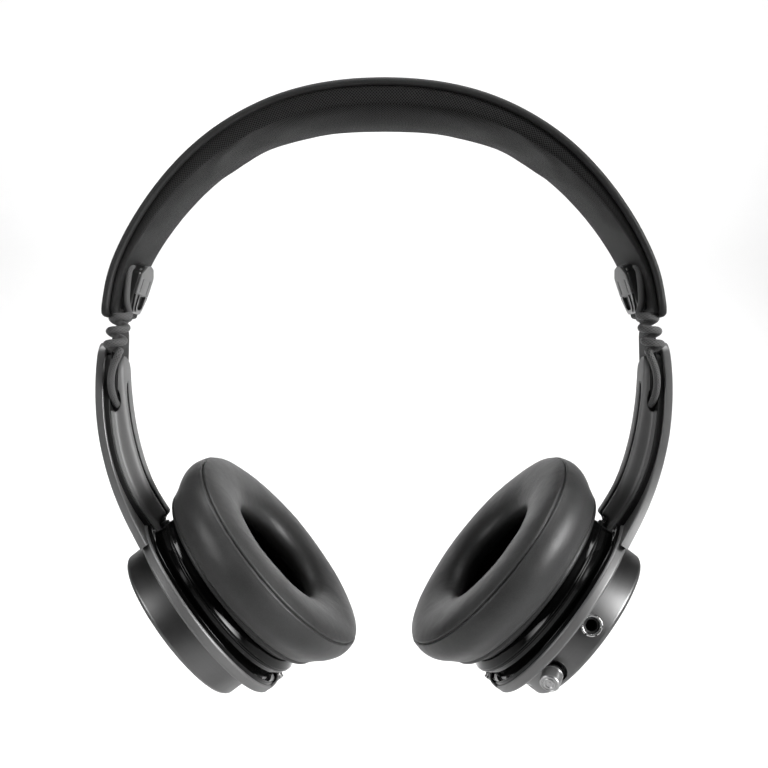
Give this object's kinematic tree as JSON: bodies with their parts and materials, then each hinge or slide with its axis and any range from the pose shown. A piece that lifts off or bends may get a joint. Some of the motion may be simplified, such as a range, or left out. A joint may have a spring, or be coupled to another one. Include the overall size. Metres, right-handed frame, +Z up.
{
  "type": "over-ear headphones",
  "caption": "Wireless padded headphones with sliding arms, swivelling round ear cups, coiled link leads and a small control knob.",
  "frame": {"origin": "middle of the pad's underside at the crown, where the headphones rest on the head", "axes": "+Z up, +X towards the ear cup with the controls, +Y away from the face of the object that shows the link leads"},
  "size_m": [0.1844, 0.08, 0.1967],
  "materials": {
    "arm_metal": "satin anodised dark grey aluminium",
    "baffle_plastic": "matte black moulding",
    "band_leather": "satin black leatherette with a fine grain",
    "battery_wrap": "silver pouch foil",
    "blade_steel": "dark satin spring steel",
    "block_plastic": "dark glossy moulding with bright bevels",
    "board_green": "solder-masked circuit board",
    "boot_rubber": "black rubber",
    "braided_lead": "dark grey braided sleeve",
    "cap_satin": "satin anodised aluminium",
    "cup_gloss": "high-gloss black",
    "cushion_leather": "soft black leatherette",
    "diaphragm_film": "clear polymer film",
    "driver_plastic": "black moulding",
    "ear_cloth": "fine black cloth",
    "flange_leather": "satin grey-black leatherette",
    "frame_gloss": "glossy black",
    "housing_metal": "brushed satin aluminium",
    "knob_inner": "steel",
    "knob_metal": "turned satin aluminium",
    "magnet_metal": "zinc-plated steel",
    "pad_mesh": "coarse black air mesh over foam",
    "pin_steel": "ground steel",
    "plate_plastic": "black nylon",
    "plate_satin": "light grey satin plate",
    "port_steel": "blackened steel",
    "rail_satin": "satin grey moulding",
    "ring_chrome": "bright nickel",
    "screw_steel": "nickel-plated steel",
    "socket_plastic": "black moulding",
    "spring_steel": "plain spring steel",
    "strip_dark": "matte black",
    "switch_plastic": "black nylon"
  },
  "bodies": {
    "headband": {"band_cover": "band_leather", "band_spring": "spring_steel", "band_pad": "pad_mesh", "slider_block_l": "block_plastic", "slider_block_r": "block_plastic", "detent_plate_l": "plate_satin", "detent_plate_r": "plate_satin", "block_screws_l": "screw_steel", "block_screws_r": "screw_steel", "link_lead_l": "braided_lead", "link_lead_r": "braided_lead"},
    "arm_left": {"arm_shell_l": "arm_metal", "arm_frame_l": "frame_gloss", "arm_rail_l": "rail_satin", "channel_strip_l": "strip_dark", "slider_blade_l": "blade_steel", "blade_screws_l": "screw_steel", "outer_housing_l": "housing_metal", "housing_cap_l": "cap_satin", "housing_plate_l": "plate_plastic", "housing_screws_l": "screw_steel", "circuit_board_l": "board_green", "pivot_pins_l": "pin_steel", "battery_l": "battery_wrap"},
    "arm_right": {"arm_shell_r": "arm_metal", "arm_frame_r": "frame_gloss", "arm_rail_r": "rail_satin", "channel_strip_r": "strip_dark", "slider_blade_r": "blade_steel", "blade_screws_r": "screw_steel", "outer_housing_r": "housing_metal", "housing_cap_r": "cap_satin", "housing_plate_r": "plate_plastic", "housing_screws_r": "screw_steel", "circuit_board_r": "board_green", "pivot_pins_r": "pin_steel", "jack_socket": "socket_plastic", "jack_ring": "ring_chrome", "charge_port": "port_steel", "switch_base": "switch_plastic", "knob_boot": "boot_rubber"},
    "cup_left": {"cup_shell_l": "cup_gloss", "cup_flange_l": "flange_leather", "baffle_l": "baffle_plastic", "driver_frame_l": "driver_plastic", "driver_magnet_l": "magnet_metal", "diaphragm_l": "diaphragm_film", "driver_cloth_l": "ear_cloth", "ear_cushion_l": "cushion_leather"},
    "cup_right": {"cup_shell_r": "cup_gloss", "cup_flange_r": "flange_leather", "baffle_r": "baffle_plastic", "driver_frame_r": "driver_plastic", "driver_magnet_r": "magnet_metal", "diaphragm_r": "diaphragm_film", "driver_cloth_r": "ear_cloth", "ear_cushion_r": "cushion_leather"},
    "knob_gimbal": {"knob_gimbal": "knob_inner"},
    "knob_stem": {"knob_stem": "knob_inner"},
    "knob_cap": {"knob_cap": "knob_metal"}
  },
  "joints": [
    {"name": "left_arm_slide", "type": "slide", "parent": "headband", "child": "arm_left", "axis": [-0.309, 0, -0.9511], "range_m": [-0.003, 0.012], "deforming": ["link_lead_l"]},
    {"name": "right_arm_slide", "type": "slide", "parent": "headband", "child": "arm_right", "axis": [0.309, 0, -0.9511], "range_m": [-0.003, 0.012], "deforming": ["link_lead_r"]},
    {"name": "left_cup_swivel", "type": "hinge", "parent": "arm_left", "child": "cup_left", "pos_m": [-0.05429, 0, -0.15361], "axis": [0.6018, 0, -0.7986], "range_deg": [-11, 2.4]},
    {"name": "right_cup_swivel", "type": "hinge", "parent": "arm_right", "child": "cup_right", "pos_m": [0.05429, 0, -0.15361], "axis": [-0.6018, 0, -0.7986], "range_deg": [-2.4, 11]},
    {"name": "knob_tilt_volume", "type": "hinge", "parent": "arm_right", "child": "knob_gimbal", "pos_m": [0.05501, -0.01725, -0.17043], "axis": [-0.4806, 0.6018, -0.6378], "range_deg": [-5, 5], "stiffness_Nm_per_rad": 0.02},
    {"name": "knob_tilt_track", "type": "hinge", "parent": "knob_gimbal", "child": "knob_stem", "pos_m": [0.05501, -0.01725, -0.17043], "axis": [-0.7986, 0, 0.6018], "range_deg": [-5, 5], "stiffness_Nm_per_rad": 0.02},
    {"name": "knob_press", "type": "slide", "parent": "knob_stem", "child": "knob_cap", "axis": [0.3622, 0.7986, 0.4806], "range_m": [0, 0.0008], "stiffness_N_per_m": 800}
  ]
}
